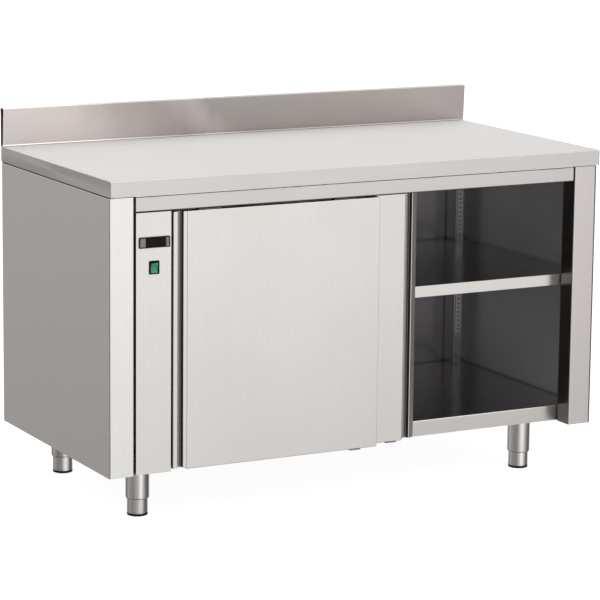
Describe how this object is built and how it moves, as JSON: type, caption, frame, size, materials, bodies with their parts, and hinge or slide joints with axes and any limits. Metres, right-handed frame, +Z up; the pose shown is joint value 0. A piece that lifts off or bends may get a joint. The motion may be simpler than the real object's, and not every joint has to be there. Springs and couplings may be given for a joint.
{
  "type": "plate warmer cabinet",
  "caption": "Stainless worktop cabinet for warm plates, with sliding doors, a shelf, a control panel with thermostat and lit rocker, an upstand and adjustable feet.",
  "frame": {"origin": "on the floor, under the middle of the worktop", "axes": "+X to the right along the front, +Y to the back, +Z up"},
  "size_m": [1.4, 0.7, 0.97],
  "materials": {
    "brushed_stainless": "fine vertical and lengthwise brushing, satin",
    "inner_stainless": "smooth mill finish, slightly reflective",
    "zinc_coated_steel": "dull zinc",
    "foot_stainless": "turned satin",
    "dark_steel": "satin",
    "track_aluminium": "extruded satin",
    "nylon": "matte",
    "black_plastic": "matte",
    "grey_plastic": "satin",
    "display_plastic": "gloss",
    "green_plastic": "gloss, translucent",
    "white_plastic": "matte",
    "buffer_rubber": "matte",
    "fibreboard": "raw board",
    "mineral_wool": "felted"
  },
  "bodies": {
    "cabinet": {"worktop_skin": "brushed_stainless", "upstand": "brushed_stainless", "left_side_panel": "brushed_stainless", "right_side_panel": "brushed_stainless", "left_front_post": "brushed_stainless", "right_front_post": "brushed_stainless", "back_panel": "zinc_coated_steel", "top_rail": "brushed_stainless", "control_panel": "brushed_stainless", "chamber_floor": "inner_stainless", "chamber_liner": "inner_stainless", "chamber_partition": "inner_stainless", "shelf_clips": "inner_stainless", "slotted_strips": "inner_stainless", "rear_columns": "inner_stainless", "base_plate": "zinc_coated_steel", "base_stiffeners": "zinc_coated_steel", "worktop_cross_members": "zinc_coated_steel", "panel_brackets": "zinc_coated_steel", "fan_housing": "zinc_coated_steel", "heating_element": "zinc_coated_steel", "fan_motor": "dark_steel", "door_tracks": "track_aluminium", "door_guides": "zinc_coated_steel", "guide_screws": "zinc_coated_steel", "leg_nuts": "zinc_coated_steel", "leg_tubes": "foot_stainless", "cable_gland": "black_plastic", "track_stops": "buffer_rubber", "worktop_board": "fibreboard", "insulation": "mineral_wool", "thermostat_module": "display_plastic", "thermostat_surround": "grey_plastic", "switch_housing": "black_plastic", "terminal_block": "white_plastic", "safety_cutout": "white_plastic"},
    "front_door": {"front_door_skin": "brushed_stainless", "front_door_grip": "brushed_stainless", "front_door_inner_sheet": "inner_stainless", "front_door_core": "mineral_wool", "front_door_hangers": "zinc_coated_steel"},
    "rear_door": {"rear_door_skin": "brushed_stainless", "rear_door_grip": "brushed_stainless", "rear_door_inner_sheet": "inner_stainless", "rear_door_core": "mineral_wool", "rear_door_hangers": "zinc_coated_steel"},
    "shelf": {"shelf": "inner_stainless"},
    "power_rocker": {"power_rocker": "green_plastic"},
    "fan_impeller": {"fan_impeller": "track_aluminium"},
    "front_left_roller": {"front_left_roller": "nylon"},
    "front_right_roller": {"front_right_roller": "nylon"},
    "rear_left_roller": {"rear_left_roller": "nylon"},
    "rear_right_roller": {"rear_right_roller": "nylon"},
    "front_left_foot": {"front_left_foot": "foot_stainless"},
    "front_right_foot": {"front_right_foot": "foot_stainless"},
    "rear_left_foot": {"rear_left_foot": "foot_stainless"},
    "rear_right_foot": {"rear_right_foot": "foot_stainless"},
    "thermostat_key_lower": {"thermostat_key_lower": "grey_plastic"},
    "thermostat_key_middle": {"thermostat_key_middle": "grey_plastic"},
    "thermostat_key_upper": {"thermostat_key_upper": "grey_plastic"}
  },
  "joints": [
    {"name": "front_door_slide", "type": "slide", "parent": "cabinet", "child": "front_door", "axis": [1, 0, 0], "range_m": [0, 0.452]},
    {"name": "rear_door_slide", "type": "slide", "parent": "cabinet", "child": "rear_door", "axis": [1, 0, 0], "range_m": [0, 0.452]},
    {"name": "shelf_lift", "type": "slide", "parent": "cabinet", "child": "shelf", "axis": [0, 0, 1], "range_m": [0, 0.03]},
    {"name": "power_rocker_tilt", "type": "hinge", "parent": "cabinet", "child": "power_rocker", "pos_m": [-0.5795, -0.334, 0.6516], "axis": [1, 0, 0], "range_deg": [-16, 0]},
    {"name": "fan_spin", "type": "hinge", "parent": "cabinet", "child": "fan_impeller", "pos_m": [-0.6, 0.02, 0.32], "axis": [1, 0, 0], "continuous": true},
    {"name": "thermostat_key_lower_press", "type": "slide", "parent": "cabinet", "child": "thermostat_key_lower", "axis": [0, 1, 0], "range_m": [0, 0.0008], "stiffness_N_per_m": 400, "springref_m": -0.001},
    {"name": "thermostat_key_middle_press", "type": "slide", "parent": "cabinet", "child": "thermostat_key_middle", "axis": [0, 1, 0], "range_m": [0, 0.0008], "stiffness_N_per_m": 400, "springref_m": -0.001},
    {"name": "thermostat_key_upper_press", "type": "slide", "parent": "cabinet", "child": "thermostat_key_upper", "axis": [0, 1, 0], "range_m": [0, 0.0008], "stiffness_N_per_m": 400, "springref_m": -0.001},
    {"name": "front_left_foot_screw", "type": "slide", "parent": "cabinet", "child": "front_left_foot", "axis": [0, 0, 1], "range_m": [-0.01, 0.02]},
    {"name": "front_right_foot_screw", "type": "slide", "parent": "cabinet", "child": "front_right_foot", "axis": [0, 0, 1], "range_m": [-0.01, 0.02]},
    {"name": "rear_left_foot_screw", "type": "slide", "parent": "cabinet", "child": "rear_left_foot", "axis": [0, 0, 1], "range_m": [-0.01, 0.02]},
    {"name": "rear_right_foot_screw", "type": "slide", "parent": "cabinet", "child": "rear_right_foot", "axis": [0, 0, 1], "range_m": [-0.01, 0.02]},
    {"name": "front_left_roller_spin", "type": "hinge", "parent": "front_door", "child": "front_left_roller", "pos_m": [-0.4285, -0.326, 0.8098], "axis": [0, 1, 0], "range_deg": [-5, 2360]},
    {"name": "front_right_roller_spin", "type": "hinge", "parent": "front_door", "child": "front_right_roller", "pos_m": [-0.0515, -0.326, 0.8098], "axis": [0, 1, 0], "range_deg": [-5, 2360]},
    {"name": "rear_left_roller_spin", "type": "hinge", "parent": "rear_door", "child": "rear_left_roller", "pos_m": [-0.323, -0.2975, 0.8098], "axis": [0, 1, 0], "range_deg": [-5, 2360]},
    {"name": "rear_right_roller_spin", "type": "hinge", "parent": "rear_door", "child": "rear_right_roller", "pos_m": [0.077, -0.2975, 0.8098], "axis": [0, 1, 0], "range_deg": [-5, 2360]}
  ],
  "couplings": [
    {"joint": "front_left_roller_spin", "follows": "front_door_slide", "rad_per_m": 90.909},
    {"joint": "front_right_roller_spin", "follows": "front_door_slide", "rad_per_m": 90.909},
    {"joint": "rear_left_roller_spin", "follows": "rear_door_slide", "rad_per_m": 90.909},
    {"joint": "rear_right_roller_spin", "follows": "rear_door_slide", "rad_per_m": 90.909}
  ]
}
